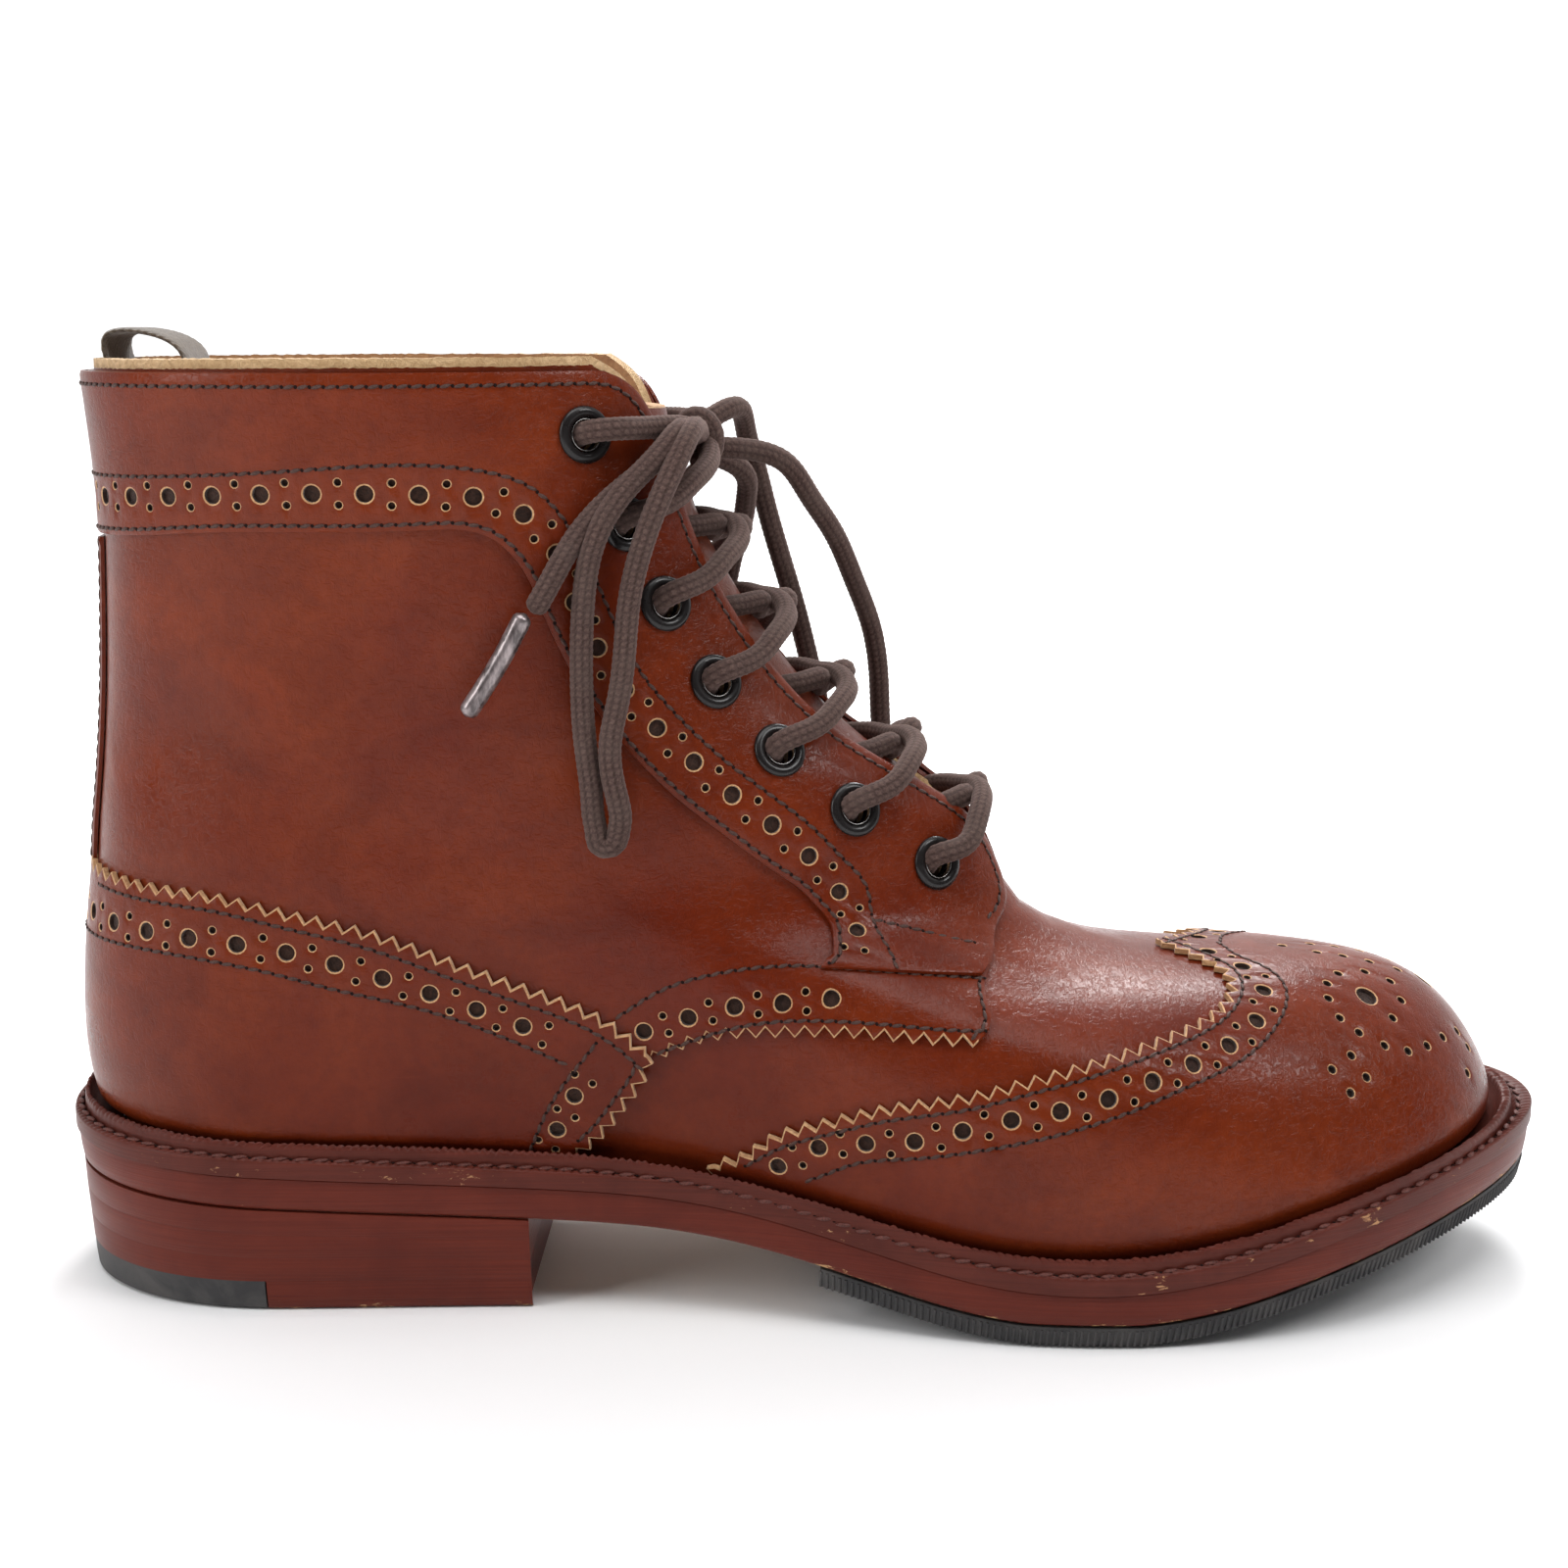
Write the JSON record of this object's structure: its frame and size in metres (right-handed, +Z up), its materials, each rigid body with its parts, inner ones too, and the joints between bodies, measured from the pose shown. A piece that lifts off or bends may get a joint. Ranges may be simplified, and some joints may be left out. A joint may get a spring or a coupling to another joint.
{
  "type": "leather boot",
  "caption": "Right leather derby ankle boot with a wing cap, brogued overlays, storm welt, stacked heel, lace-up throat with a tied bow and a webbing pull loop.",
  "frame": {"origin": "on the floor, under the centre of the box round the boot, its laces left out", "axes": "+Z up, toe towards +X, inner (medial) side towards +Y, outer (lateral) side towards -Y"},
  "size_m": [0.309, 0.1104, 0.1941],
  "materials": {
    "upper_leather": "smooth waxed calf, soft gloss",
    "lining_leather": "matt",
    "insole_leather": "matt natural",
    "edge_leather": "inked and waxed edge",
    "sole_rubber": "matt",
    "eyelet_metal": "satin black enamel",
    "lace_cord": "waxed cotton",
    "aglet_tag": "glossy",
    "webbing": "woven cotton"
  },
  "bodies": {
    "root": {"aglet_far": "aglet_tag", "aglet_near": "aglet_tag", "back_strip": "upper_leather", "facing_lateral": "upper_leather", "facing_medial": "upper_leather", "heel_counter": "upper_leather", "heel_stack": "edge_leather", "heel_tip_rubber": "sole_rubber", "heel_top_piece": "edge_leather", "insole": "insole_leather", "lace_crossing_1": "lace_cord", "lace_crossing_2": "lace_cord", "lace_crossing_3": "lace_cord", "lace_crossing_4": "lace_cord", "lace_crossing_5": "lace_cord", "lace_crossing_6": "lace_cord", "lace_end_far": "lace_cord", "lace_end_near": "lace_cord", "lace_knot": "lace_cord", "lace_loop_far": "lace_cord", "lace_loop_near": "lace_cord", "lace_top_lateral": "lace_cord", "lace_top_medial": "lace_cord", "outsole_leather": "edge_leather", "outsole_rubber": "sole_rubber", "pull_loop": "webbing", "quarter_lateral": "upper_leather", "quarter_medial": "upper_leather", "tongue": "lining_leather", "upper": "upper_leather", "welt": "edge_leather", "wing_cap": "upper_leather", "eyelet_lateral_1": "eyelet_metal", "eyelet_lateral_2": "eyelet_metal", "eyelet_lateral_3": "eyelet_metal", "eyelet_lateral_4": "eyelet_metal", "eyelet_lateral_5": "eyelet_metal", "eyelet_lateral_6": "eyelet_metal", "eyelet_lateral_7": "eyelet_metal", "eyelet_medial_1": "eyelet_metal", "eyelet_medial_2": "eyelet_metal", "eyelet_medial_3": "eyelet_metal", "eyelet_medial_4": "eyelet_metal", "eyelet_medial_5": "eyelet_metal", "eyelet_medial_6": "eyelet_metal", "eyelet_medial_7": "eyelet_metal"}
  },
  "joints": []
}
